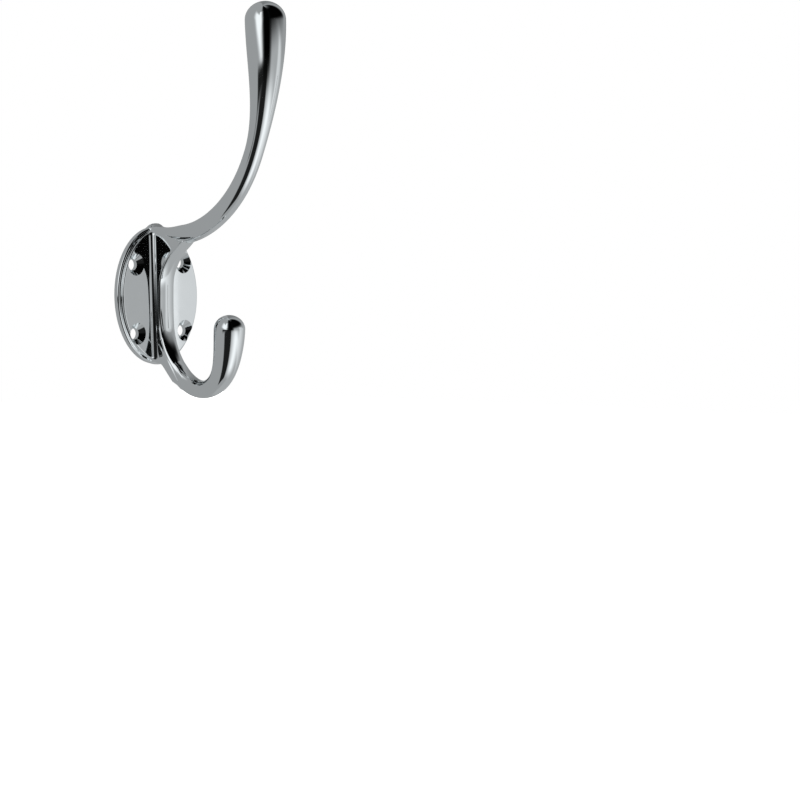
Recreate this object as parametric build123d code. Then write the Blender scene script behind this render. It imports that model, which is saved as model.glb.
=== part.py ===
from build123d import *
from math import cos, pi, sin
import os

# Cast hat and coat hook, in millimetres.
# The origin is the centre of the plate's back, on the wall. The wall is the plane Y = 0,
# the hook stands out towards -Y, and +Z is up. The hook is symmetric about X = 0.

# Back plate: an oval foot with a stepped rim and a flat raised face
plate_width = 43.4
plate_height = 53.2
plate_thickness = 3.6
rim_height = 2.2
rim_inset = 1.4
rim_round = 0.8
face_round = 0.5

# Four countersunk screw holes, a little below the middle to clear the root of the hat arm
screw_pitch_x = 25.8
screw_pitch_z = 26.6
screw_drop = 1.0
screw_hole_diameter = 4.4
screw_head_diameter = 8.4

# Web between the plate and the two arms, with a cove where it meets the plate
web_thickness = 6.0
web_cove = 3.0
web_foot_rise = 0.9
web_heel_reach = 1.8
web_heel_radius = 7.0
web_heel_turn = 50.0
web_tail = 3.6
web_edge_round = 1.2

# Width of both arms along X where they leave the plate
arm_width = 7.4

# Hat arm: how far its centre line runs from the wall and how high it climbs
hat_root_below_top = 0.4
hat_root_thickness = 3.2
hat_saddle_reach = 17.4
hat_saddle_below_top = 3.0
hat_arm_thickness = 7.4
hat_elbow_reach = 43.2
hat_elbow_height = 36.9
hat_waist_reach = 54.4
hat_waist_height = 53.6
hat_waist_width = 7.2
hat_neck_reach = 59.8
hat_neck_height = 71.8
hat_knob_reach = 62.0
hat_knob_diameter = 15.4
hat_knob_dome = 7.0
hat_top_height = 110.0

# Front strap: it leaves the underside of the hat arm, lies on the web and turns into the coat arm
strap_start_reach = 15.2
strap_start_below_top = 5.2
strap_turn_reach = 9.2
strap_turn_height = 14.4
strap_reach = 6.4
strap_height = -1.6
strap_thickness = 5.4
strap_foot_reach = 7.6
strap_foot_height = -18.6

# Coat arm: a J that dips below the plate and turns up to its own knob
coat_heel_reach = 16.7
coat_heel_rise = 6.2
coat_arm_thickness = 6.8
coat_bottom_reach = 25.5
coat_bottom_height = -39.4
coat_toe_reach = 33.4
coat_toe_rise = 6.8
coat_neck_reach = 38.5
coat_neck_height = -22.0
coat_knob_reach = 39.8
coat_knob_diameter = 12.0
coat_knob_dome = 5.4
coat_top_height = -7.2

# How finely the arms are drawn: distance between their sections, points round each section,
# and the angles in degrees of the sections that round off a knob
section_step = 6.0
section_points = 12
dome_angles = (18, 36, 54, 70, 82)

plate_top = plate_height / 2
plate_bottom = -plate_height / 2
face_y = -plate_thickness

# The middle plane as a drawing board: x is the distance from the wall, y the height
side_plane = Plane(origin=(0, 0, 0), x_dir=(0, -1, 0), z_dir=(-1, 0, 0))


def on_side(reach, height):
    """A point of the middle plane, by its distance from the wall and its height."""
    return Vector(0, -reach, height)


def oval(inset, depth_from, depth_to):
    """An upright oval slab of the plate, narrower all round by the inset."""
    outline = Plane.XZ.offset(depth_from) * Ellipse(plate_width / 2 - inset, plate_height / 2 - inset)
    return extrude(outline, depth_to - depth_from)


def make_plate():
    """The stepped oval plate, flat at the back."""
    base = oval(0, 0, rim_height)
    base = fillet(base.faces().sort_by(Axis.Y)[0].outer_wire().edges(), rim_round)
    face = oval(rim_inset, 0, plate_thickness)
    face = fillet(face.faces().sort_by(Axis.Y)[0].outer_wire().edges(), face_round)
    return base + face


def screw_places():
    """The centres of the four screw holes on the plate's face."""
    for side in (-1, 1):
        for end in (-1, 1):
            yield side * screw_pitch_x / 2, end * screw_pitch_z / 2 - screw_drop


def make_screw_cuts():
    """Countersunk cutters that open at the plate's face."""
    hole_radius = screw_hole_diameter / 2
    head_radius = screw_head_diameter / 2
    sink_depth = head_radius - hole_radius
    bore = Cylinder(hole_radius, 4 * plate_thickness)
    sink = Pos(0, 0, -sink_depth / 2) * Cone(hole_radius, head_radius, sink_depth)
    lead = Pos(0, 0, plate_thickness / 2) * Cylinder(head_radius, plate_thickness)
    cutter = bore + sink + lead
    face = Plane(origin=(0, face_y, 0), x_dir=(1, 0, 0), z_dir=(0, -1, 0))
    return [face * Pos(x, z) * cutter for x, z in screw_places()]


def eased(start, end, share):
    """A value between start and end that leaves and arrives without a kink."""
    return start + (end - start) * share * share * (3 - 2 * share)


def make_section(width, thickness):
    """A closed smooth oval, which is the cross section of an arm."""
    turns = [2 * pi * number / section_points for number in range(section_points)]
    return make_face(Spline(*[(width / 2 * cos(turn), thickness / 2 * sin(turn)) for turn in turns], periodic=True))


def make_dome(diameter, rise):
    """The flattened round end of an arm, standing on its last section."""
    rings = [make_section(diameter, diameter)]
    for angle in dome_angles:
        slant = angle * pi / 180
        rings.append(Pos(0, 0, rise * sin(slant)) * make_section(diameter * cos(slant), diameter * cos(slant)))
    return loft([*rings, Vertex(0, 0, rise)])


def make_bar(points, girths, dome_rise):
    """A bar with a domed end, lofted through oval sections that stand square to a smooth centre line.

    The points are reach and height in the middle plane. A girth is the number of its point,
    the width along X and the thickness across the line there.
    """
    places = [on_side(reach, height) for reach, height in points]
    line = Spline(*places)
    stops = [(line.param_at_point(places[number]), width, thick) for number, width, thick in girths]
    sections = []
    for (begin, width_1, thick_1), (finish, width_2, thick_2) in zip(stops, stops[1:]):
        count = max(1, round((finish - begin) * line.length / section_step))
        for step in range(count):
            sections.append((begin + (finish - begin) * step / count,
                             eased(width_1, width_2, step / count),
                             eased(thick_1, thick_2, step / count)))
    sections.append(stops[-1])
    rings = []
    for share, width, thick in sections:
        plane = Plane(origin=line.position_at(share), x_dir=(1, 0, 0), z_dir=line.tangent_at(share))
        rings.append(plane * make_section(width, thick))
    return loft(rings) + plane * make_dome(width, dome_rise)


def make_hat_arm():
    """The long upper arm with its pear-shaped knob."""
    knob_height = hat_top_height - hat_knob_dome
    points = (
        (rim_height / 2, plate_top - hat_root_below_top),
        (hat_saddle_reach, plate_top - hat_saddle_below_top),
        (hat_elbow_reach, hat_elbow_height),
        (hat_waist_reach, hat_waist_height),
        (hat_neck_reach, hat_neck_height),
        (hat_knob_reach, knob_height),
    )
    girths = (
        (0, arm_width, hat_root_thickness),
        (1, arm_width, hat_arm_thickness),
        (3, hat_waist_width, hat_waist_width),
        (5, hat_knob_diameter, hat_knob_diameter),
    )
    return make_bar(points, girths, hat_knob_dome)


def make_coat_arm():
    """The front strap and the J-shaped lower arm with its knob, in one run."""
    knob_height = coat_top_height - coat_knob_dome
    points = (
        (strap_start_reach, plate_top - strap_start_below_top),
        (strap_turn_reach, strap_turn_height),
        (strap_reach, strap_height),
        (strap_foot_reach, strap_foot_height),
        (coat_heel_reach, coat_bottom_height + coat_heel_rise),
        (coat_bottom_reach, coat_bottom_height + coat_arm_thickness / 2),
        (coat_toe_reach, coat_bottom_height + coat_toe_rise),
        (coat_neck_reach, coat_neck_height),
        (coat_knob_reach, knob_height),
    )
    girths = (
        (0, arm_width, strap_thickness),
        (3, arm_width, strap_thickness),
        (4, arm_width, coat_arm_thickness),
        (5, arm_width, coat_arm_thickness),
        (8, coat_knob_diameter, coat_knob_diameter),
    )
    return make_bar(points, girths, coat_knob_dome)


def make_web():
    """The gusset behind the strap, from the hat arm's root down to the plate's lower edge."""
    back = rim_height / 2
    foot = plate_bottom + web_foot_rise
    heel = CenterArc((web_heel_reach, foot - web_heel_radius), web_heel_radius, 90, -web_heel_turn)
    rest = Polyline(
        heel @ 1,
        heel @ 1 + (heel % 1) * web_tail,
        (coat_heel_reach, coat_bottom_height + coat_heel_rise),
        (strap_foot_reach, strap_foot_height),
        (strap_reach, strap_height),
        (strap_turn_reach, strap_turn_height),
        (strap_start_reach, plate_top - strap_start_below_top),
        (hat_saddle_reach, plate_top - hat_saddle_below_top),
        (back, plate_top - hat_root_below_top),
        (back, foot),
        heel @ 0,
    )
    web = extrude(side_plane * make_face(heel + rest), web_thickness / 2, both=True)
    under = web.faces().filter_by(GeomType.CYLINDER).edges().filter_by(GeomType.CIRCLE)
    return fillet(under, web_edge_round)


def make_coves():
    """The hollow roundings along both sides of the web, where it meets the plate's face."""
    side = web_thickness / 2
    corner = (side, -plate_thickness)
    on_plate = (side + web_cove, -plate_thickness)
    on_web = (side, -plate_thickness - web_cove)
    hollow = CenterArc((side + web_cove, -plate_thickness - web_cove), web_cove, 90, 90)
    profile = make_face(Line(corner, on_plate) + hollow + Line(on_web, corner))
    strip = extrude(profile, plate_height / 2, both=True)
    strip = strip & oval(rim_inset, 0, plate_thickness + web_cove)
    return strip + mirror(strip, Plane.YZ)


def make_hook():
    """The whole casting, with its screw holes."""
    hook = make_hat_arm() + make_coat_arm() + make_web() + make_plate() + make_coves()
    for cutter in make_screw_cuts():
        hook = hook - cutter
    return hook


os.makedirs("parts", exist_ok=True)
hook = make_hook()
export_step(hook, "parts/hook.step")
print("hook", hook.is_valid, len(hook.solids()), round(hook.volume, 1), hook.bounding_box())
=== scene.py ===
"""Looks of a cast hat and coat hook in polished chrome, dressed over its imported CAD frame.

All lengths in the classes are millimetres, in the frame of the CAD: the wall is the plane Y = 0,
the hook stands out towards -Y, +Z is up, and the hook is symmetric about X = 0.
"""

import logging
import math
from dataclasses import dataclass, field
from enum import Enum
from typing import NamedTuple

import bmesh
import bpy
import numpy as np
from mathutils import Matrix, Vector


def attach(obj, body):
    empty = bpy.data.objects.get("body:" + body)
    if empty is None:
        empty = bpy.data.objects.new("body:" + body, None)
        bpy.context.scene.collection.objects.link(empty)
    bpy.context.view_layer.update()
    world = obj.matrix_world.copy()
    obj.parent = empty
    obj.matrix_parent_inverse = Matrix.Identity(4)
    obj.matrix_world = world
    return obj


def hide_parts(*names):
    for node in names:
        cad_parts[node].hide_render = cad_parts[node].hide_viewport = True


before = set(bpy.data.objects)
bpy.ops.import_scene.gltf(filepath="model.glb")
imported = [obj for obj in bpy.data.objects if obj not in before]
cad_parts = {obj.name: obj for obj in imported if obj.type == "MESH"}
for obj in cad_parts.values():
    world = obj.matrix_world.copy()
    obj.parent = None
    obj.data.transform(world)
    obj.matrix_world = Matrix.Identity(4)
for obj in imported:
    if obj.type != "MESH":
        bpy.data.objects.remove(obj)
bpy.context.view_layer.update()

MM = 0.001
WELD = 0.002 * MM
TINY = 1e-9
CORNERS = [(i, j, k) for i in (0, 1) for j in (0, 1) for k in (0, 1)]
LOG = logging.getLogger("hook")


class Tone(Enum):
    """How light a studio card looks in the chrome, as a share of full white on screen."""

    BLACK = 0.01
    CHARCOAL = 0.11
    SLATE = 0.46
    GREY = 0.607
    SILVER = 0.66
    LIGHT = 0.83
    BRIGHT = 0.93
    WHITE = 1.0


# Node helpers


def add_node(tree: bpy.types.NodeTree, kind: str, **settings: str) -> bpy.types.Node:
    """Adds a node and fills it in.

    Args:
        tree: the tree that gets the node.
        kind: the node's type name.
        settings: its properties, by name.

    Returns:
        The new node.
    """
    node = tree.nodes.new(kind)
    for name, value in settings.items():
        setattr(node, name, value)
    return node


def plug(tree: bpy.types.NodeTree, node: bpy.types.Node, socket: int | str, source: object) -> None:
    """Gives an input its value: a link when the source is a socket, else a constant.

    Args:
        tree: the tree that holds the node.
        node: the node whose input is filled.
        socket: the input's number or name.
        source: an output socket, or a plain value.
    """
    if isinstance(source, bpy.types.NodeSocket):
        tree.links.new(source, node.inputs[socket])
    else:
        node.inputs[socket].default_value = source


# Finishes


@dataclass(frozen=True)
class Chrome:
    """Polished chrome plate over a hand-buffed casting. The buffing's scale counts marks to the metre."""

    name: str = "chrome"
    colour: tuple[float, float, float] = (0.93, 0.965, 0.975)
    dull_colour: tuple[float, float, float] = (0.90, 0.935, 0.95)
    buffing_scale: float = 190.0
    buffing_detail: float = 3.0
    haze_from: tuple[float, float] = (0.3, 0.75)
    roughness: float = 0.035
    roughness_spread: float = 0.03
    ripple_size: float = 26.0
    ripple_height: float = 0.02
    ripple_detail: float = 1.0
    ripple_strength: float = 0.5

    def build(self) -> bpy.types.Material:
        """Makes the material, with its pattern on Object coordinates.

        Returns:
            The finished material.
        """
        material = bpy.data.materials.new(self.name)
        material.use_nodes = True
        tree = material.node_tree
        tree.nodes.clear()
        place = add_node(tree, "ShaderNodeTexCoord").outputs["Object"]

        buffing = add_node(tree, "ShaderNodeTexNoise", noise_dimensions="3D")
        plug(tree, buffing, "Vector", place)
        plug(tree, buffing, "Scale", self.buffing_scale)
        plug(tree, buffing, "Detail", self.buffing_detail)

        tint = add_node(tree, "ShaderNodeMix", data_type="RGBA")
        plug(tree, tint, 0, buffing.outputs["Fac"])
        plug(tree, tint, 6, (*self.dull_colour, 1.0))
        plug(tree, tint, 7, (*self.colour, 1.0))

        haze = add_node(tree, "ShaderNodeMapRange")
        plug(tree, haze, "Value", buffing.outputs["Fac"])
        plug(tree, haze, "From Min", self.haze_from[0])
        plug(tree, haze, "From Max", self.haze_from[1])
        plug(tree, haze, "To Min", self.roughness)
        plug(tree, haze, "To Max", self.roughness + self.roughness_spread)

        ripple = add_node(tree, "ShaderNodeTexNoise", noise_dimensions="3D")
        plug(tree, ripple, "Vector", place)
        plug(tree, ripple, "Scale", 1 / (self.ripple_size * MM))
        plug(tree, ripple, "Detail", self.ripple_detail)
        swell = add_node(tree, "ShaderNodeBump")
        plug(tree, swell, "Strength", self.ripple_strength)
        plug(tree, swell, "Distance", self.ripple_height * MM)
        plug(tree, swell, "Height", ripple.outputs["Fac"])

        skin = add_node(tree, "ShaderNodeBsdfPrincipled")
        plug(tree, skin, "Base Color", tint.outputs[2])
        plug(tree, skin, "Metallic", 1.0)
        plug(tree, skin, "Roughness", haze.outputs["Result"])
        plug(tree, skin, "Normal", swell.outputs["Normal"])
        out = add_node(tree, "ShaderNodeOutputMaterial")
        plug(tree, out, "Surface", skin.outputs["BSDF"])
        return material


@dataclass(frozen=True)
class CardPaint:
    """The glow of the studio's cards, read from the level stored on their points."""

    name: str = "card_paint"
    colour: tuple[float, float, float] = (0.985, 1.0, 1.01)

    def build(self) -> bpy.types.Material:
        """Makes the glowing material.

        Returns:
            The finished material.
        """
        material = bpy.data.materials.new(self.name)
        material.use_nodes = True
        tree = material.node_tree
        tree.nodes.clear()
        level = add_node(tree, "ShaderNodeAttribute", attribute_name="level")
        glow = add_node(tree, "ShaderNodeEmission")
        plug(tree, glow, "Color", (*self.colour, 1.0))
        plug(tree, glow, "Strength", level.outputs["Fac"])
        out = add_node(tree, "ShaderNodeOutputMaterial")
        plug(tree, out, "Surface", glow.outputs["Emission"])
        material.cycles.emission_sampling = "NONE"
        return material


@dataclass(frozen=True)
class WhiteGround:
    """The white floor, which stays white for the camera and keeps the shade that falls on it."""

    name: str = "white_ground"
    colour: float = 0.9

    def build(self) -> bpy.types.Material:
        """Makes the floor's material.

        Returns:
            The finished material.
        """
        material = bpy.data.materials.new(self.name)
        material.use_nodes = True
        tree = material.node_tree
        tree.nodes.clear()
        ray = add_node(tree, "ShaderNodeLightPath")
        seen = add_node(tree, "ShaderNodeMath", operation="MAXIMUM")
        plug(tree, seen, 0, ray.outputs["Is Camera Ray"])
        plug(tree, seen, 1, ray.outputs["Is Transmission Ray"])
        matt = add_node(tree, "ShaderNodeBsdfDiffuse")
        plug(tree, matt, "Color", (self.colour, self.colour, self.colour, 1.0))
        glow = add_node(tree, "ShaderNodeEmission")
        plug(tree, glow, "Strength", seen.outputs[0])
        both = add_node(tree, "ShaderNodeAddShader")
        plug(tree, both, 0, matt.outputs[0])
        plug(tree, both, 1, glow.outputs[0])
        out = add_node(tree, "ShaderNodeOutputMaterial")
        plug(tree, out, "Surface", both.outputs[0])
        return material


# Shape helpers


def soft_step(low: np.ndarray | float, high: np.ndarray | float, value: np.ndarray) -> np.ndarray:
    """Returns 0 below low and 1 above high, with a smooth run between them."""
    share = np.clip((value - low) / (high - low), 0, 1)
    return share * share * (3 - 2 * share)


def as_light(shade: np.ndarray | float) -> np.ndarray:
    """Turns a share of white on screen into an amount of light, by the sRGB curve."""
    shade = np.asarray(shade, float)
    return np.where(shade <= 0.04045, shade / 12.92, ((shade + 0.055) / 1.055) ** 2.4)


def eased(start: float, end: float, share: float) -> float:
    """Returns a value between start and end that leaves and arrives without a kink."""
    return start + (end - start) * share * share * (3 - 2 * share)


class SmoothLine:
    """A curve of even curvature through points of the middle plane, given as reach and height."""

    def __init__(self, points: list[tuple[float, float]]) -> None:
        """Fits the curve.

        Args:
            points: reach from the wall and height of each point, in order.
        """
        self.knots = np.array(points, float)
        steps = np.linalg.norm(np.diff(self.knots, axis=0), axis=1)
        self.at_knots = np.concatenate([[0.0], np.cumsum(steps)])
        count = len(points)
        matrix = np.zeros((count, count))
        right = np.zeros((count, 2))
        matrix[0, 0] = matrix[-1, -1] = 1.0
        right[0] = self._end_slope(self.knots[:4], self.at_knots[:4], 0)
        right[-1] = self._end_slope(self.knots[-4:], self.at_knots[-4:], 3)
        for i in range(1, count - 1):
            before, after = steps[i - 1], steps[i]
            matrix[i, i - 1], matrix[i, i], matrix[i, i + 1] = after, 2 * (before + after), before
            right[i] = 3 * (after * (self.knots[i] - self.knots[i - 1]) / before
                            + before * (self.knots[i + 1] - self.knots[i]) / after)
        self.slopes = np.linalg.solve(matrix, right)

    @staticmethod
    def _end_slope(points: np.ndarray, places: np.ndarray, number: int) -> np.ndarray:
        """Works out the slope at one of four points of the cubic that runs through them.

        Args:
            points: the four points.
            places: how far along the curve each one lies.
            number: which of the four the slope is for.

        Returns:
            The slope there.
        """
        slope = np.zeros(2)
        for i in range(4):
            others = [j for j in range(4) if j != i]
            below = math.prod(places[i] - places[j] for j in others)
            above = sum(math.prod(places[number] - places[j] for j in others if j != left)
                        for left in others)
            slope += points[i] * above / below
        return slope

    def at(self, place: float) -> tuple[np.ndarray, np.ndarray]:
        """Finds a place on the curve.

        Args:
            place: how far along the curve, as in at_knots.

        Returns:
            The point and the unit direction there.
        """
        i = int(np.clip(np.searchsorted(self.at_knots, place) - 1, 0, len(self.knots) - 2))
        span = self.at_knots[i + 1] - self.at_knots[i]
        t = (place - self.at_knots[i]) / span
        p, q = self.knots[i], self.knots[i + 1]
        a, b = self.slopes[i] * span, self.slopes[i + 1] * span
        point = ((2 * t**3 - 3 * t**2 + 1) * p + (t**3 - 2 * t**2 + t) * a
                 + (3 * t**2 - 2 * t**3) * q + (t**3 - t**2) * b)
        slope = ((6 * t**2 - 6 * t) * p + (3 * t**2 - 4 * t + 1) * a
                 + (6 * t - 6 * t**2) * q + (3 * t**2 - 2 * t) * b)
        return point, slope / np.linalg.norm(slope)


def finish_mesh(piece: bpy.types.Object, crease: float = 32.0) -> bpy.types.Object:
    """Smooths a piece's shading, apart from its creases, and turns its faces outwards.

    Args:
        piece: the mesh object.
        crease: the angle in degrees past which an edge stays sharp.

    Returns:
        The same object.
    """
    shape = bmesh.new()
    shape.from_mesh(piece.data)
    bmesh.ops.remove_doubles(shape, verts=shape.verts, dist=WELD)
    bmesh.ops.recalc_face_normals(shape, faces=shape.faces)
    shape.to_mesh(piece.data)
    shape.free()
    piece.data.shade_smooth()
    piece.data.set_sharp_from_angle(angle=math.radians(crease))
    return piece


def new_piece(name: str, verts: list, faces: list, edges: list | None = None) -> bpy.types.Object:
    """Makes a mesh object from millimetres.

    Args:
        name: the piece's name.
        verts: its points in millimetres.
        faces: its faces, by point numbers.
        edges: loose edges, by point numbers.

    Returns:
        The new object, linked to the scene.
    """
    mesh = bpy.data.meshes.new(name)
    mesh.from_pydata([tuple(float(c) * MM for c in v) for v in verts], edges or [], faces)
    piece = bpy.data.objects.new(name, mesh)
    bpy.context.scene.collection.objects.link(piece)
    return piece


# Arms


class SweptBarTree:
    """Geometry Nodes that skin a rail with oval rings, sized by the rail's own attributes."""

    START_RADIUS = 3.0
    USED_UP = ("centre", "turn", "across", "half_width", "half_thickness", "fullness")

    def __init__(self, name: str = "swept_bar") -> None:
        """Builds the node tree.

        Args:
            name: the tree's name.
        """
        tree = bpy.data.node_groups.new(name, "GeometryNodeTree")
        face = tree.interface
        face.new_socket("Rail", in_out="INPUT", socket_type="NodeSocketGeometry")
        self.sides = face.new_socket("Sides", in_out="INPUT", socket_type="NodeSocketInt")
        self.weld = face.new_socket("Weld", in_out="INPUT", socket_type="NodeSocketFloat")
        self.finish = face.new_socket("Finish", in_out="INPUT", socket_type="NodeSocketMaterial")
        face.new_socket("Bar", in_out="OUTPUT", socket_type="NodeSocketGeometry")
        group_in = add_node(tree, "NodeGroupInput")
        group_out = add_node(tree, "NodeGroupOutput")

        rail = add_node(tree, "GeometryNodeMeshToCurve")
        plug(tree, rail, "Mesh", group_in.outputs["Rail"])
        centre = self._store(tree, rail.outputs["Curve"], "centre", "FLOAT_VECTOR",
                             add_node(tree, "GeometryNodeInputPosition").outputs[0])

        ring = add_node(tree, "GeometryNodeCurvePrimitiveCircle")
        plug(tree, ring, "Resolution", group_in.outputs["Sides"])
        plug(tree, ring, "Radius", self.START_RADIUS * MM)
        share = add_node(tree, "GeometryNodeSplineParameter").outputs["Factor"]
        turned = self._store(tree, ring.outputs["Curve"], "turn", "FLOAT", share)

        skin = add_node(tree, "GeometryNodeCurveToMesh")
        plug(tree, skin, "Curve", centre)
        plug(tree, skin, "Profile Curve", turned)
        plug(tree, skin, "Fill Caps", True)

        angle = add_node(tree, "ShaderNodeMath", operation="MULTIPLY")
        plug(tree, angle, 0, self._read(tree, "turn", "FLOAT"))
        plug(tree, angle, 1, math.tau)
        sideways = self._product(tree, angle, "COSINE", "half_width")
        outwards = self._product(tree, angle, "SINE", "half_thickness")
        over_x = add_node(tree, "ShaderNodeCombineXYZ")
        plug(tree, over_x, "X", sideways)
        across = add_node(tree, "ShaderNodeVectorMath", operation="SCALE")
        plug(tree, across, 0, self._read(tree, "across", "FLOAT_VECTOR"))
        plug(tree, across, "Scale", outwards)
        offset = add_node(tree, "ShaderNodeVectorMath", operation="ADD")
        plug(tree, offset, 0, over_x.outputs[0])
        plug(tree, offset, 1, across.outputs[0])
        spot = add_node(tree, "ShaderNodeVectorMath", operation="ADD")
        plug(tree, spot, 0, offset.outputs[0])
        plug(tree, spot, 1, self._read(tree, "centre", "FLOAT_VECTOR"))

        placed = add_node(tree, "GeometryNodeSetPosition")
        plug(tree, placed, "Geometry", skin.outputs["Mesh"])
        plug(tree, placed, "Position", spot.outputs[0])
        merged = add_node(tree, "GeometryNodeMergeByDistance")
        plug(tree, merged, "Geometry", placed.outputs[0])
        plug(tree, merged, "Distance", group_in.outputs["Weld"])
        real = add_node(tree, "GeometryNodeRealizeInstances")
        plug(tree, real, "Geometry", merged.outputs[0])
        dressed = add_node(tree, "GeometryNodeSetMaterial")
        plug(tree, dressed, "Geometry", real.outputs[0])
        plug(tree, dressed, "Material", group_in.outputs["Finish"])
        plug(tree, group_out, 0, dressed.outputs[0])
        self.tree = tree

    @staticmethod
    def _store(tree: bpy.types.NodeTree, source: bpy.types.NodeSocket, name: str, kind: str,
               value: bpy.types.NodeSocket) -> bpy.types.NodeSocket:
        """Stores a value on the points of a geometry.

        Args:
            tree: the tree that gets the node.
            source: the geometry.
            name: the attribute's name.
            kind: its data type.
            value: the value to store.

        Returns:
            The geometry with the attribute.
        """
        node = add_node(tree, "GeometryNodeStoreNamedAttribute", data_type=kind, domain="POINT")
        plug(tree, node, "Geometry", source)
        plug(tree, node, "Name", name)
        plug(tree, node, "Value", value)
        return node.outputs["Geometry"]

    @staticmethod
    def _read(tree: bpy.types.NodeTree, name: str, kind: str) -> bpy.types.NodeSocket:
        """Reads a stored value.

        Args:
            tree: the tree that gets the node.
            name: the attribute's name.
            kind: its data type.

        Returns:
            The value's socket.
        """
        node = add_node(tree, "GeometryNodeInputNamedAttribute", data_type=kind)
        plug(tree, node, "Name", name)
        return node.outputs["Attribute"]

    def _product(self, tree: bpy.types.NodeTree, angle: bpy.types.Node, operation: str,
                 girth: str) -> bpy.types.NodeSocket:
        """Multiplies a girth by the sine or cosine of the angle round the ring, made fuller.

        Args:
            tree: the tree that gets the nodes.
            angle: the node that gives the angle.
            operation: SINE or COSINE.
            girth: the name of the girth's attribute.

        Returns:
            The product's socket.
        """
        wave = add_node(tree, "ShaderNodeMath", operation=operation)
        plug(tree, wave, 0, angle.outputs[0])
        side = add_node(tree, "ShaderNodeMath", operation="SIGN")
        plug(tree, side, 0, wave.outputs[0])
        size = add_node(tree, "ShaderNodeMath", operation="ABSOLUTE")
        plug(tree, size, 0, wave.outputs[0])
        fuller = add_node(tree, "ShaderNodeMath", operation="POWER")
        plug(tree, fuller, 0, size.outputs[0])
        plug(tree, fuller, 1, self._read(tree, "fullness", "FLOAT"))
        signed = add_node(tree, "ShaderNodeMath", operation="MULTIPLY")
        plug(tree, signed, 0, fuller.outputs[0])
        plug(tree, signed, 1, side.outputs[0])
        product = add_node(tree, "ShaderNodeMath", operation="MULTIPLY")
        plug(tree, product, 0, signed.outputs[0])
        plug(tree, product, 1, self._read(tree, girth, "FLOAT"))
        return product.outputs[0]

    def skin(self, rail: bpy.types.Object, sides: int, finish: bpy.types.Material) -> bpy.types.Object:
        """Skins a rail and returns the bar as a plain mesh object.

        Args:
            rail: a mesh of edges with the attributes across, half_width, half_thickness and fullness.
            sides: how many faces go round the bar.
            finish: the bar's material.

        Returns:
            The bar. The rail is removed.
        """
        modifier = rail.modifiers.new("bar", "NODES")
        modifier.node_group = self.tree
        modifier[self.sides.identifier] = sides
        modifier[self.weld.identifier] = WELD
        modifier[self.finish.identifier] = finish
        graph = bpy.context.evaluated_depsgraph_get()
        mesh = bpy.data.meshes.new_from_object(rail.evaluated_get(graph))
        name = rail.name
        rail.modifiers.remove(modifier)
        bpy.data.objects.remove(rail)
        mesh.name = name
        for extra in self.USED_UP:
            if extra in mesh.attributes:
                mesh.attributes.remove(mesh.attributes[extra])
        bar = bpy.data.objects.new(name, mesh)
        bpy.context.scene.collection.objects.link(bar)
        return bar


class Girth(NamedTuple):
    """A bar's size at one of its points. A squareness of 2 is an oval, and more is fuller."""

    number: int
    width: float
    thickness: float
    squareness: float = 2.0


class Station(NamedTuple):
    """Where a ring of a bar stands in the middle plane, and how large it is."""

    point: np.ndarray
    ahead: np.ndarray
    half_width: float
    half_thickness: float
    squareness: float


@dataclass
class Bar:
    """A bar of changing oval section along a smooth line, with a domed end."""

    name: str
    points: list[tuple[float, float]]
    girths: list[Girth]
    dome: float
    step: float = 0.6
    dome_rings: int = 22
    sides: int = 96
    crease: float = 40.0

    def stations(self) -> list[Station]:
        """Works out the bar's rings, from its root to the tip of its dome.

        Returns:
            The rings, in order.
        """
        line = SmoothLine(self.points)
        rings = []
        for here, there in zip(self.girths, self.girths[1:]):
            begin, end = line.at_knots[here.number], line.at_knots[there.number]
            count = max(2, round((end - begin) / self.step))
            for i in range(count):
                share = i / count
                point, ahead = line.at(begin + (end - begin) * share)
                rings.append(Station(point, ahead, eased(here.width, there.width, share) / 2,
                                     eased(here.thickness, there.thickness, share) / 2,
                                     eased(here.squareness, there.squareness, share)))
        point, ahead = line.at(line.at_knots[-1])
        last = self.girths[-1]
        for i in range(self.dome_rings):
            turn = math.pi / 2 * i / self.dome_rings
            rings.append(Station(point + ahead * self.dome * math.sin(turn), ahead,
                                 last.width / 2 * math.cos(turn), last.thickness / 2 * math.cos(turn),
                                 last.squareness))
        rings.append(Station(point + ahead * self.dome, ahead, 0.0, 0.0, last.squareness))
        return rings

    def build(self, tree: SweptBarTree, finish: bpy.types.Material) -> bpy.types.Object:
        """Builds the bar.

        Args:
            tree: the node tree that skins its rail.
            finish: its material.

        Returns:
            The finished piece.
        """
        rings = self.stations()
        verts = [(0.0, -ring.point[0], ring.point[1]) for ring in rings]
        rail = new_piece(self.name, verts, [], [(i, i + 1) for i in range(len(rings) - 1)])
        across = rail.data.attributes.new("across", "FLOAT_VECTOR", "POINT")
        across.data.foreach_set("vector", [c for ring in rings
                                           for c in (0.0, ring.ahead[1], ring.ahead[0])])
        sizes = {"half_width": [ring.half_width * MM for ring in rings],
                 "half_thickness": [ring.half_thickness * MM for ring in rings],
                 "fullness": [2 / ring.squareness for ring in rings]}
        for title, values in sizes.items():
            rail.data.attributes.new(title, "FLOAT", "POINT").data.foreach_set("value", values)
        return finish_mesh(tree.skin(rail, self.sides, finish), self.crease)


# Plate and web


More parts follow.
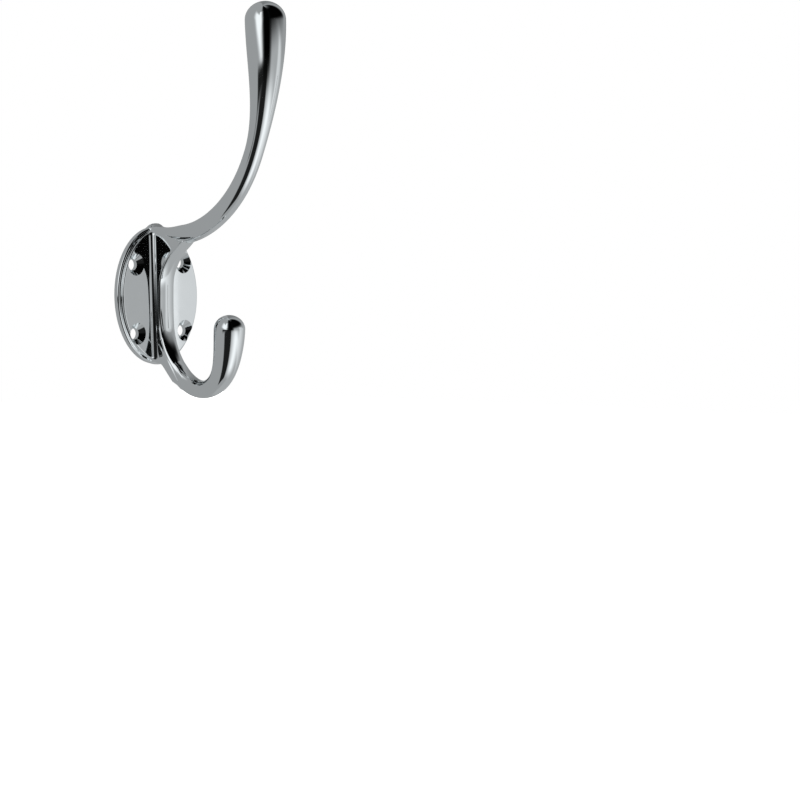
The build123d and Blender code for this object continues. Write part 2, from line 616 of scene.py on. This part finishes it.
@dataclass
class Plate:
    """The oval foot with its stepped rim and four countersunk holes."""

    width: float = 43.4
    height: float = 53.2
    thickness: float = 3.6
    rim_height: float = 2.2
    rim_inset: float = 1.4
    rim_round: float = 0.8
    face_round: float = 0.5
    edge_break: float = 0.12
    foot_hollow: float = 0.22
    face_margin: float = 0.06
    pitch_x: float = 25.8
    pitch_z: float = 26.6
    drop: float = 1.0
    hole: float = 4.4
    head: float = 8.4
    cutter_over: float = 2.0
    around: int = 256
    hole_sides: int = 72
    round_steps: int = 8
    hollow_steps: int = 6
    crease: float = 30.0

    def rim_profile(self) -> list[tuple[float, float]]:
        """Works out the rings of the rim.

        Returns:
            Inset and depth of each ring, from the back's edge to the raised face.
        """
        rows = [(self.edge_break, 0.0), (0.0, self.edge_break), (0.0, self.rim_height - self.rim_round)]
        for i in range(1, self.round_steps + 1):
            turn = math.pi / 2 * i / self.round_steps
            rows.append((self.rim_round * (1 - math.cos(turn)),
                         self.rim_height - self.rim_round * (1 - math.sin(turn))))
        for i in range(self.hollow_steps + 1):
            turn = math.pi / 2 * i / self.hollow_steps
            rows.append((self.rim_inset - self.foot_hollow * (1 - math.sin(turn)),
                         self.rim_height + self.foot_hollow * (1 - math.cos(turn))))
        for i in range(self.round_steps + 1):
            turn = math.pi / 2 * i / self.round_steps
            rows.append((self.rim_inset + self.face_round * (1 - math.cos(turn)),
                         self.thickness - self.face_round * (1 - math.sin(turn))))
        rows.append((self.rim_inset + self.face_round + self.face_margin, self.thickness))
        return rows

    def hole_profile(self) -> list[tuple[float, float]]:
        """Works out the rings of a hole cutter.

        Returns:
            Radius and depth of each ring, from over the face to under the back.
        """
        head, hole = self.head / 2, self.hole / 2
        floor = self.thickness - (head - hole)
        return [(head, self.thickness + self.cutter_over), (head, self.thickness),
                (hole, floor), (hole, -self.cutter_over)]

    def hole_places(self) -> list[tuple[float, float]]:
        """Returns the centres of the four holes."""
        return [(side * self.pitch_x / 2, end * self.pitch_z / 2 - self.drop)
                for side in (-1, 1) for end in (-1, 1)]

    def build(self, finish: bpy.types.Material) -> bpy.types.Object:
        """Builds the plate as one closed mesh.

        Args:
            finish: its material.

        Returns:
            The finished piece.
        """
        body = self._stack("plate", [self._oval(*row) for row in self.rim_profile()])
        body.data.materials.append(finish)
        cutters = []
        for number, centre in enumerate(self.hole_places()):
            rings = [self._circle(centre, *row) for row in self.hole_profile()]
            cutters.append(self._stack(f"cutter_{number}", rings))
            cutters[-1].data.materials.append(finish)
            cut = body.modifiers.new(f"hole_{number}", "BOOLEAN")
            cut.object, cut.operation, cut.solver = cutters[-1], "DIFFERENCE", "EXACT"
        graph = bpy.context.evaluated_depsgraph_get()
        mesh = bpy.data.meshes.new_from_object(body.evaluated_get(graph))
        body.modifiers.clear()
        body.data = mesh
        for cutter in cutters:
            bpy.data.objects.remove(cutter)
        return finish_mesh(body, self.crease)

    def _oval(self, inset: float, depth: float) -> list[tuple[float, float, float]]:
        """Draws one ring of the plate's outline.

        Args:
            inset: how far it lies inside the outline.
            depth: its distance from the wall.

        Returns:
            The ring's points.
        """
        wide, high = self.width / 2 - inset, self.height / 2 - inset
        turns = [math.tau * i / self.around for i in range(self.around)]
        return [(wide * math.cos(t), -depth, high * math.sin(t)) for t in turns]

    def _circle(self, centre: tuple[float, float], radius: float,
                depth: float) -> list[tuple[float, float, float]]:
        """Returns one ring of a hole cutter."""
        turns = [math.tau * i / self.hole_sides for i in range(self.hole_sides)]
        return [(centre[0] + radius * math.cos(t), -depth, centre[1] + radius * math.sin(t)) for t in turns]

    def _stack(self, name: str, rings: list[list[tuple[float, float, float]]]) -> bpy.types.Object:
        """Joins rings of equal count into a closed body with flat ends.

        Args:
            name: the body's name.
            rings: the points of each ring, in order.

        Returns:
            The body.
        """
        count = len(rings[0])
        faces = [(row * count + i, row * count + (i + 1) % count,
                  (row + 1) * count + (i + 1) % count, (row + 1) * count + i)
                 for row in range(len(rings) - 1) for i in range(count)]
        last = (len(rings) - 1) * count
        faces += [tuple(reversed(range(count))), tuple(range(last, last + count))]
        body = new_piece(name, [point for ring in rings for point in ring], faces)
        return finish_mesh(body, self.crease)


@dataclass
class Gusset:
    """The web with its crowned strap and its coves, and the fillets that flow into plate and arms.

    Its surface is the zero level of a distance field, so that every corner is rounded as in a casting.
    Where it would only repeat the plate or an arm it lies a hair under them.
    """

    outline: list[tuple[float, float]]
    hat: Bar
    coat: Bar
    plate: Plate
    half_thickness: float = 4.0
    crown: float = 0.8
    edge_round: float = 0.55
    cove: float = 2.25
    fillet: float = 0.4
    crotch: float = 2.6
    crotch_run: tuple[float, float] = (-0.2, 3.0)
    heel_fillet: float = 2.4
    heel_run: tuple[float, float] = (-0.4, 1.6)
    heel_heights: tuple[float, float] = (-27.0, -23.0)
    sunk: float = 0.015
    cell: float = 0.28
    half_span: float = 8.4
    reach_span: tuple[float, float] = (0.3, 24.0)
    height_span: tuple[float, float] = (-37.0, 34.0)
    settle_rounds: int = 4
    settle_hair: float = 0.01
    least_steepness: float = 0.25
    longest_move: float = 0.5
    end_slack: float = 0.05
    off_axis: float = 1e-6
    crease: float = 60.0

    @staticmethod
    def _round_union(a: np.ndarray, b: np.ndarray, radius: float | np.ndarray) -> np.ndarray:
        """Returns the field of two bodies joined with a hollow fillet of that radius."""
        inner = np.maximum(radius, np.minimum(a, b))
        return inner - np.hypot(np.maximum(radius - a, 0), np.maximum(radius - b, 0))

    @staticmethod
    def _round_slab(flat: np.ndarray, side: np.ndarray, radius: float) -> np.ndarray:
        """Returns the field where two fields overlap, with its edge rounded."""
        return (np.minimum(np.maximum(flat, side) + radius, 0)
                + np.hypot(np.maximum(flat + radius, 0), np.maximum(side + radius, 0)) - radius)

    def _outline_field(self, reach: np.ndarray, height: np.ndarray) -> np.ndarray:
        """Measures how far points lie from the edge of the web's side view.

        Args:
            reach: distance from the wall.
            height: height over the plate's middle.

        Returns:
            The distance, below zero inside.
        """
        corners = np.array(self.outline)
        nearest = np.full(reach.shape, np.inf)
        inside = np.zeros(reach.shape, bool)
        for p, q in zip(corners, np.roll(corners, -1, axis=0)):
            edge = q - p
            along = ((reach - p[0]) * edge[0] + (height - p[1]) * edge[1]) / (edge @ edge)
            along = np.clip(along, 0, 1)
            nearest = np.minimum(nearest, np.hypot(reach - p[0] - along * edge[0],
                                                   height - p[1] - along * edge[1]))
            crosses = (p[1] > height) != (q[1] > height)
            with np.errstate(divide="ignore", invalid="ignore"):
                at = p[0] + (height - p[1]) * edge[0] / edge[1]
            inside ^= crosses & (reach < at)
        return np.where(inside, -nearest, nearest)

    @staticmethod
    def _bar_frame(bar: Bar, reach: np.ndarray, height: np.ndarray) -> tuple[np.ndarray, ...]:
        """Finds the section of a bar that is nearest to each point of the middle plane.

        Args:
            bar: the bar. Its dome is left out.
            reach: distance from the wall.
            height: height over the plate's middle.

        Returns:
            The offset across the bar, its half width, half thickness and squareness there,
            and how far past the bar's end the point lies.
        """
        rings = bar.stations()[:-1 - bar.dome_rings]
        spots = np.array([ring.point for ring in rings])
        aheads = np.array([ring.ahead for ring in rings])
        girths = np.array([ring[2:] for ring in rings])
        best = np.full(reach.shape, np.inf)
        pick = np.zeros(reach.shape, int)
        for number, spot in enumerate(spots):
            far = (reach - spot[0]) ** 2 + (height - spot[1]) ** 2
            nearer = far < best
            best[nearer] = far[nearer]
            pick[nearer] = number
        step = (reach - spots[pick, 0]) * aheads[pick, 0] + (height - spots[pick, 1]) * aheads[pick, 1]
        other = np.clip(pick + np.sign(step).astype(int), 0, len(spots) - 1)
        gap = np.linalg.norm(spots[other] - spots[pick], axis=-1)
        share = np.where(gap > 0, np.clip(np.abs(step) / np.maximum(gap, TINY), 0, 1), 0)
        ahead = aheads[pick] * (1 - share)[..., None] + aheads[other] * share[..., None]
        ahead /= np.linalg.norm(ahead, axis=-1, keepdims=True)
        spot = spots[pick] * (1 - share)[..., None] + spots[other] * share[..., None]
        girth = girths[pick] * (1 - share)[..., None] + girths[other] * share[..., None]
        across = (reach - spot[..., 0]) * -ahead[..., 1] + (height - spot[..., 1]) * ahead[..., 0]
        along = (reach - spot[..., 0]) * ahead[..., 0] + (height - spot[..., 1]) * ahead[..., 1]
        return across, girth[..., 0], girth[..., 1], girth[..., 2], np.abs(along)

    def _bar_field(self, side: np.ndarray, place: tuple[np.ndarray, ...]) -> np.ndarray:
        """Measures how far points lie from a bar's skin.

        Args:
            side: sideways offset from the middle plane.
            place: what _bar_frame gives for the points.

        Returns:
            The distance, below zero inside.
        """
        across, wide, thick, square, past = place
        wide, thick = wide - self.sunk, thick - self.sunk
        p, q = np.abs(side) / wide + self.off_axis, np.abs(across) / thick + self.off_axis
        ratio = (p**square + q**square) ** (1 / square)
        slope = np.hypot((p / ratio) ** (square - 1) / wide, (q / ratio) ** (square - 1) / thick)
        return np.maximum((ratio - 1) / slope, past - self.end_slack)

    def _oval_field(self, side: np.ndarray, height: np.ndarray, inset: float) -> np.ndarray:
        """Measures how far points lie from the plate's outline, narrowed all round.

        Args:
            side: sideways offset from the middle plane.
            height: height over the plate's middle.
            inset: how much narrower the outline is on each side.

        Returns:
            The distance, below zero inside.
        """
        wide, high = self.plate.width / 2 - inset - self.sunk, self.plate.height / 2 - inset - self.sunk
        ratio = np.sqrt((side / wide) ** 2 + (height / high) ** 2) + TINY
        slope = np.sqrt((side / wide**2) ** 2 + (height / high**2) ** 2) + TINY
        return ratio * (ratio - 1) / slope

    def field(self, side: np.ndarray, reach: np.ndarray, height: np.ndarray) -> np.ndarray:
        """Measures the whole rounded body.

        Args:
            side: sideways offset from the middle plane.
            reach: distance from the wall.
            height: height over the plate's middle.

        Returns:
            The distance to its surface, below zero inside. The arguments may broadcast.
        """
        side = np.abs(side)
        flat = np.broadcast_arrays(reach, height)
        view = self._outline_field(*flat)
        crowned = view + self.crown * (side / self.half_thickness) ** 2
        web = self._round_slab(crowned, side - self.half_thickness, self.edge_round)
        low = self._round_slab(self._oval_field(side, height, 0.0),
                               reach - self.plate.rim_height + self.sunk, self.plate.rim_round)
        high = self._round_slab(self._oval_field(side, height, self.plate.rim_inset),
                                reach - self.plate.thickness + self.sunk, self.plate.face_round)
        body = self._round_union(web, np.minimum(low, high), self.cove)
        crotch = self.fillet + (self.crotch - self.fillet) * soft_step(*self.crotch_run, view)
        under = soft_step(*self.heel_run, view) * (1 - soft_step(*self.heel_heights, flat[1]))
        heel = self.fillet + (self.heel_fillet - self.fillet) * under
        for bar, radius in ((self.hat, crotch), (self.coat, heel)):
            body = self._round_union(body, self._bar_field(side, self._bar_frame(bar, *flat)), radius)
        body = np.maximum(body, side - self.half_span)
        body = np.maximum(body, np.maximum(self.reach_span[0] - reach, reach - self.reach_span[1]))
        return np.maximum(body, np.maximum(self.height_span[0] - height, height - self.height_span[1]))

    def build(self, finish: bpy.types.Material) -> bpy.types.Object:
        """Builds the body as one closed skin over the field's zero level.

        Args:
            finish: its material.

        Returns:
            The finished piece.
        """
        count = math.ceil(self.half_span / self.cell) + 1
        sides = np.arange(-count, count + 1) * self.cell
        reaches, heights = (np.arange(span[0] - self.cell, span[1] + 2 * self.cell, self.cell)
                            for span in (self.reach_span, self.height_span))
        values = self.field(sides[:, None, None], reaches[None, :, None], heights[None, None, :])
        cells = self._mixed_cells(values < 0)
        origin = np.array([sides[0], reaches[0], heights[0]])
        points = self._settle(origin + (cells + self._cell_centres(values, cells)) * self.cell)
        quads = self._quads(values < 0, cells)
        piece = new_piece("web", (points * [1, -1, 1]).tolist(), quads.tolist())
        piece.data.materials.append(finish)
        return finish_mesh(piece, self.crease)

    @staticmethod
    def _mixed_cells(solid: np.ndarray) -> np.ndarray:
        """Returns the grid cells that have corners on both sides of the surface."""
        filled = sum(solid[tuple(slice(c, n - 1 + c) for c, n in zip(corner, solid.shape))].astype(int)
                     for corner in CORNERS)
        return np.argwhere((filled > 0) & (filled < len(CORNERS)))

    @staticmethod
    def _cell_centres(values: np.ndarray, cells: np.ndarray) -> np.ndarray:
        """Finds the mean place, within each cell, of the points where its edges meet the surface.

        Args:
            values: the field at the grid's points.
            cells: the cells that the surface runs through.

        Returns:
            A place for each cell, in shares of a cell.
        """
        total, hits = np.zeros((len(cells), 3)), np.zeros(len(cells))
        for corner in CORNERS:
            for axis in (axis for axis in range(3) if not corner[axis]):
                end = list(corner)
                end[axis] = 1
                a, b = values[tuple((cells + corner).T)], values[tuple((cells + end).T)]
                cut = (a < 0) != (b < 0)
                spot = np.array(corner, float) + np.zeros((len(cells), 3))
                spot[:, axis] += np.where(cut, a / np.where(cut, a - b, 1), 0)
                total += np.where(cut[:, None], spot, 0)
                hits += cut
        return total / hits[:, None]

    @staticmethod
    def _quads(solid: np.ndarray, cells: np.ndarray) -> np.ndarray:
        """Makes a face of four cell points for each grid edge that crosses the surface.

        Args:
            solid: which grid points lie inside.
            cells: the cells that the surface runs through.

        Returns:
            The faces, by cell number.
        """
        number = np.full(np.array(solid.shape) - 1, -1)
        number[tuple(cells.T)] = np.arange(len(cells))
        faces = []
        for axis in range(3):
            u, v = (axis + 1) % 3, (axis + 2) % 3
            here = tuple(slice(0 if k == axis else 1, n - 1) for k, n in enumerate(solid.shape))
            there = tuple(slice(1, n if k == axis else n - 1) for k, n in enumerate(solid.shape))
            crossed = np.argwhere(solid[here] != solid[there])
            crossed += [0 if k == axis else 1 for k in range(3)]
            outward = solid[tuple(crossed.T)]
            ring = []
            for du, dv in ((1, 1), (0, 1), (0, 0), (1, 0)):
                near = crossed.copy()
                near[:, u] -= du
                near[:, v] -= dv
                ring.append(number[tuple(near.T)])
            quad = np.stack(ring, 1)
            quad[~outward] = quad[~outward][:, ::-1]
            faces.append(quad)
        return np.concatenate(faces)[:, ::-1]

    def _settle(self, points: np.ndarray) -> np.ndarray:
        """Moves points onto the zero level along the field's slope, in short rounds.

        Args:
            points: the points to move.

        Returns:
            The moved points.
        """
        longest = self.longest_move * self.cell
        for _ in range(self.settle_rounds):
            level = self.field(*points.T)
            slope = np.stack([self.field(*(points + self.settle_hair * axis).T) - level
                              for axis in np.eye(3)], 1) / self.settle_hair
            steepness = np.maximum((slope**2).sum(1), self.least_steepness)
            move = -(level / steepness)[:, None] * slope
            points = points + np.clip(move, -longest, longest)
        return points


@dataclass
class Hook:
    """The whole casting: plate, web, hat arm and coat arm. A pair is a reach and a height."""

    plate: Plate = field(default_factory=Plate)
    arm_width: float = 7.4
    hat_root_below_top: float = 0.4
    hat_root: float = 3.2
    hat_saddle_reach: float = 17.4
    hat_saddle_below_top: float = 3.0
    hat_arm: float = 7.4
    hat_elbow: tuple[float, float] = (43.2, 36.9)
    hat_waist: tuple[float, float] = (54.4, 53.6)
    hat_waist_width: float = 7.2
    hat_neck: tuple[float, float] = (59.8, 71.8)
    hat_knob: float = 15.4
    hat_knob_reach: float = 62.0
    hat_dome: float = 7.0
    hat_top: float = 110.0
    strap: float = 4.6
    strap_width: float = 7.9
    strap_squareness: float = 3.0
    strap_roots: tuple[tuple[float, float], ...] = ((3.6, 8.0), (4.5, -4.0), (6.6, -18.4))
    coat_heel_reach: float = 16.7
    coat_heel_rise: float = 6.2
    coat_heel_squareness: float = 2.4
    coat_arm: float = 6.8
    coat_bottom_reach: float = 25.5
    coat_bottom: float = -39.4
    coat_bottom_squareness: float = 2.2
    coat_toe_reach: float = 33.4
    coat_toe_rise: float = 6.8
    coat_neck: tuple[float, float] = (38.5, -22.0)
    coat_knob: float = 12.0
    coat_knob_reach: float = 39.8
    coat_dome: float = 5.4
    coat_top: float = -7.2
    web_foot_rise: float = 0.9
    web_heel_reach: float = 1.8
    web_heel_radius: float = 7.0
    web_heel_turn: float = 50.0
    web_tail: float = 3.6
    web_under: tuple[tuple[float, float], ...] = ((11.9, -33.7), (14.6, -35.0))
    web_top: tuple[tuple[float, float], ...] = ((18.0, 21.4), (7.0, 24.9))
    web_top_height: float = 25.3
    strap_front: tuple[tuple[float, float], ...] = (
        (8.0, -17.4), (7.5, -12.0), (7.4, -6.0), (7.6, 1.0), (8.4, 7.4), (10.4, 11.4),
        (12.8, 14.6), (15.4, 17.0), (18.4, 19.4), (20.6, 22.0),
    )
    heel_steps: int = 24
    strap_steps: int = 59

    def hat_points(self) -> list[tuple[float, float]]:
        """Returns the hat arm's line, by reach and height."""
        top = self.plate.height / 2
        return [(self.plate.rim_height / 2, top - self.hat_root_below_top),
                (self.hat_saddle_reach, top - self.hat_saddle_below_top), self.hat_elbow,
                self.hat_waist, self.hat_neck, (self.hat_knob_reach, self.hat_top - self.hat_dome)]

    def coat_points(self) -> list[tuple[float, float]]:
        """Returns the line of the coat arm, which starts inside the strap, by reach and height."""
        low = self.coat_bottom
        return [*self.strap_roots, (self.coat_heel_reach, low + self.coat_heel_rise),
                (self.coat_bottom_reach, low + self.coat_arm / 2),
                (self.coat_toe_reach, low + self.coat_toe_rise), self.coat_neck,
                (self.coat_knob_reach, self.coat_top - self.coat_dome)]

    def web_outline(self) -> list[tuple[float, float]]:
        """Draws the web's side view, which ends inside the two arms.

        Returns:
            Its corners, by reach and height: heel, underside, strap's front, top and back.
        """
        back = self.plate.rim_height / 2
        foot = -self.plate.height / 2 + self.web_foot_rise
        turns = [math.radians(90 - self.web_heel_turn * i / self.heel_steps)
                 for i in range(self.heel_steps + 1)]
        heel = [(self.web_heel_reach + self.web_heel_radius * math.cos(turn),
                 foot - self.web_heel_radius + self.web_heel_radius * math.sin(turn)) for turn in turns]
        tail = (heel[-1][0] + self.web_tail * math.sin(turns[-1]),
                heel[-1][1] - self.web_tail * math.cos(turns[-1]))
        root, inside = self.coat_points()[2:4]
        strap = SmoothLine(list(self.strap_front))
        front = [tuple(strap.at(place)[0])
                 for place in np.linspace(0, strap.at_knots[-1], self.strap_steps + 1)]
        return [*heel, tail, *self.web_under, inside, root, *front, *self.web_top,
                (back, self.web_top_height), (back, foot)]

    def build(self) -> list[bpy.types.Object]:
        """Builds and dresses every piece of the casting.

        Returns:
            The finished pieces, the plate first.
        """
        finish = Chrome().build()
        tree = SweptBarTree()
        hat = Bar("hat_arm", self.hat_points(),
                  [Girth(0, self.arm_width, self.hat_root), Girth(1, self.arm_width, self.hat_arm),
                   Girth(3, self.hat_waist_width, self.hat_waist_width),
                   Girth(5, self.hat_knob, self.hat_knob)], self.hat_dome)
        coat = Bar("coat_arm", self.coat_points(),
                   [Girth(0, self.strap_width, self.strap, self.strap_squareness),
                    Girth(2, self.strap_width, self.strap, self.strap_squareness),
                    Girth(3, self.arm_width, self.coat_arm, self.coat_heel_squareness),
                    Girth(4, self.arm_width, self.coat_arm, self.coat_bottom_squareness),
                    Girth(7, self.coat_knob, self.coat_knob)], self.coat_dome)
        web = Gusset(self.web_outline(), hat, coat, self.plate)
        return [self.plate.build(finish), web.build(finish),
                hat.build(tree, finish), coat.build(tree, finish)]


# Studio


@dataclass(frozen=True)
class SoftCard:
    """A soft-edged card or flag on the studio's tent.

    Its place is in degrees, turned right from the camera's side and raised from the level. The upper and
    lower edges may climb by lean degrees for each degree of turn.
    """

    name: str
    tone: Tone
    turn: tuple[float, float]
    rise: tuple[float, float]
    soft: tuple[float, float]
    lean: float = 0.0

    def cover(self, turn: np.ndarray, rise: np.ndarray) -> np.ndarray:
        """Measures how much of the tent the card hides.

        Args:
            turn: where the places are turned to, in degrees.
            rise: how far they are raised, in degrees.

        Returns:
            The hidden share at each place, from 0 to 1.
        """
        side, edge = self.soft[0] / 2, self.soft[1] / 2
        level = rise - self.lean * (turn - sum(self.turn) / 2)
        across = [soft_step(self.turn[0] - side, self.turn[0] + side, spot)
                  * (1 - soft_step(self.turn[1] - side, self.turn[1] + side, spot))
                  for spot in (turn, turn + 360)]
        along = (soft_step(self.rise[0] - edge, self.rise[0] + edge, level)
                 * (1 - soft_step(self.rise[1] - edge, self.rise[1] + edge, level)))
        return np.maximum(*across) * along


@dataclass
class Tent:
    """The light tent round the hook: a grey sphere with soft cards, seen only in the metal.

    A later card covers the ones before it.
    """

    radius: float = 450.0
    step: float = 1.25
    base: Tone = Tone.GREY
    camera_turn: float = -45.0
    cards: tuple[SoftCard, ...] = (
        SoftCard("shade_behind", Tone.SLATE, (152, 190), (-66, 90), (52, 22), 0.6),
        SoftCard("silver_right", Tone.SILVER, (60, 180), (-92, 6), (42, 8), 0.15),
        SoftCard("level_light", Tone.LIGHT, (50, 108), (-28, 12), (46, 8), -0.3),
        SoftCard("low_softbox", Tone.WHITE, (26, 72), (-52, -8), (48, 22)),
        SoftCard("high_softbox", Tone.WHITE, (-54, -16), (4, 44), (28, 16), -0.6),
        SoftCard("high_softbox_end", Tone.WHITE, (-26, 0), (14, 56), (4, 6), 0.3),
        SoftCard("gap_flag", Tone.CHARCOAL, (-32, 14), (-62, -6), (8, 4), 0.15),
        SoftCard("level_flag", Tone.CHARCOAL, (-48, 14), (-8, -1), (10, 4)),
        SoftCard("half_light", Tone.SILVER, (22, 74), (-6, 20), (12, 18), -0.3),
        SoftCard("black_ceiling", Tone.BLACK, (18, 112), (16, 78), (24, 24), 0.15),
        SoftCard("black_flag", Tone.BLACK, (-10, 28), (-6, 90), (20, 16)),
    )

    def build(self, paint: bpy.types.Material) -> bpy.types.Object:
        """Builds the tent, hidden from the camera.

        Args:
            paint: the cards' glowing material.

        Returns:
            The tent's object.
        """
        turns = np.arange(-180, 180, self.step)
        rises = np.arange(-90 + self.step, 90 - self.step / 2, self.step)
        turn, rise = (grid.ravel() for grid in np.meshgrid(turns, rises))
        turn, rise = np.append(turn, [0.0, 0.0]), np.append(rise, [-90.0, 90.0])
        shade = np.full(turn.shape, self.base.value)
        for card in self.cards:
            shade += (card.tone.value - shade) * card.cover(turn, rise)
        compass, up = np.radians(turn + self.camera_turn), np.radians(rise)
        spots = self.radius * np.stack([np.sin(compass) * np.cos(up), -np.cos(compass) * np.cos(up),
                                        np.sin(up)], 1)
        wide, high = len(turns), len(rises)
        faces = [(row * wide + i, (row + 1) * wide + i, (row + 1) * wide + (i + 1) % wide,
                  row * wide + (i + 1) % wide) for row in range(high - 1) for i in range(wide)]
        foot, head, last = wide * high, wide * high + 1, (high - 1) * wide
        faces += [(foot, i, (i + 1) % wide) for i in range(wide)]
        faces += [(head, last + (i + 1) % wide, last + i) for i in range(wide)]
        return hang_card("tent", spots.tolist(), faces, as_light(shade), paint)


def hang_card(name: str, verts: list, faces: list, levels: np.ndarray,
              paint: bpy.types.Material) -> bpy.types.Object:
    """Hangs a glowing card that the camera doesn't see and that casts no shadow.

    Args:
        name: its name.
        verts: its points in millimetres.
        faces: its faces, by point numbers.
        levels: how much light each point gives.
        paint: the glowing material, which reads the levels.

    Returns:
        The card's object.
    """
    card = new_piece(name, verts, faces)
    level = card.data.attributes.new("level", "FLOAT", "POINT")
    level.data.foreach_set("value", np.asarray(levels, np.float32))
    card.data.materials.append(paint)
    card.visible_camera = False
    card.visible_shadow = False
    card.visible_diffuse = False
    return card


@dataclass(frozen=True)
class PlateCard:
    """A tall strip of card that the flat plate mirrors: across its sight line, and in height."""

    name: str
    tone: Tone
    across: tuple[float, float]
    height: tuple[float, float] = (-45.0, 26.0)
    away: float = 300.0

    def build(self, paint: bpy.types.Material) -> bpy.types.Object:
        """Builds the strip, which stands off the hook's right front at 45 degrees to the wall.

        Args:
            paint: the cards' glowing material.

        Returns:
            The strip.
        """
        slant = math.sqrt(0.5)
        (left, right), (low, high) = self.across, self.height
        verts = [((self.away + n) * slant, (n - self.away) * slant, z)
                 for n, z in ((left, low), (right, low), (right, high), (left, high))]
        levels = np.full(len(verts), as_light(self.tone.value))
        return hang_card(self.name, verts, [(0, 1, 2, 3)], levels, paint)


@dataclass
class Studio:
    """Camera, white ground, light tent and cards."""

    azimuth: float = -45.0
    elevation: float = 1.9
    distance: float = 1100.0
    pan: float = -4.935
    tilt: float = -2.242
    roll: float = -1.295
    lens: float = 126.7
    sensor_width: float = 36.0
    clip: tuple[float, float] = (10.0, 50000.0)
    floor_reach: float = 6000.0
    floor_drop: float = 600.0
    tent: Tent = field(default_factory=Tent)
    strips: tuple[PlateCard, ...] = (
        PlateCard("strip_left", Tone.SILVER, (-24.0, -2.0)),
        PlateCard("strip_middle", Tone.BRIGHT, (2.0, 6.5)),
        PlateCard("strip_right", Tone.LIGHT, (6.5, 30.0)),
    )

    def place_camera(self) -> bpy.types.Object:
        """Stands the camera where the picture was taken from.

        Returns:
            The camera.
        """
        turn, up = math.radians(self.azimuth), math.radians(self.elevation)
        back = Vector((math.sin(turn) * math.cos(up), -math.cos(turn) * math.cos(up), math.sin(up)))
        right = Vector((math.cos(turn), math.sin(turn), 0))
        level = Matrix((right, back.cross(right), back)).transposed()
        aim = (level @ Matrix.Rotation(math.radians(self.pan), 3, "Y")
               @ Matrix.Rotation(math.radians(self.tilt), 3, "X")
               @ Matrix.Rotation(math.radians(self.roll), 3, "Z"))
        lens = bpy.data.cameras.new("camera")
        lens.lens = self.lens
        lens.sensor_width = self.sensor_width
        lens.clip_start, lens.clip_end = (end * MM for end in self.clip)
        camera = bpy.data.objects.new("camera", lens)
        camera.matrix_world = Matrix.Translation(back * self.distance * MM) @ aim.to_4x4()
        bpy.context.scene.collection.objects.link(camera)
        bpy.context.scene.camera = camera
        return camera

    def lay_ground(self) -> bpy.types.Object:
        """Lays the white floor well under the hook.

        Returns:
            The floor.
        """
        side, down = self.floor_reach, -self.floor_drop
        floor = new_piece("floor", [(-side, -side, down), (side, -side, down),
                                    (side, side, down), (-side, side, down)], [(0, 1, 2, 3)])
        floor.data.materials.append(WhiteGround().build())
        floor.visible_glossy = False
        return floor

    def light_world(self) -> None:
        """Makes the world an even white."""
        world = bpy.data.worlds.new("studio")
        world.use_nodes = True
        tree = world.node_tree
        tree.nodes.clear()
        sky = add_node(tree, "ShaderNodeBackground")
        plug(tree, sky, "Color", (1.0, 1.0, 1.0, 1.0))
        plug(tree, sky, "Strength", 1.0)
        out = add_node(tree, "ShaderNodeOutputWorld")
        plug(tree, out, "Surface", sky.outputs[0])
        bpy.context.scene.world = world

    def build(self) -> None:
        """Sets up the whole studio."""
        self.place_camera()
        self.lay_ground()
        self.light_world()
        paint = CardPaint().build()
        self.tent.build(paint)
        for strip in self.strips:
            strip.build(paint)
        bpy.context.scene.view_settings.view_transform = "Standard"


def main() -> None:
    logging.basicConfig(level=logging.INFO, format="%(name)s: %(message)s")
    Studio().build()
    pieces = Hook().build()
    for piece in pieces:
        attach(piece, "root")
        LOG.info("%s: %d faces", piece.name, len(piece.data.polygons))
    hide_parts("hook")


if __name__ == "__main__":
    main()
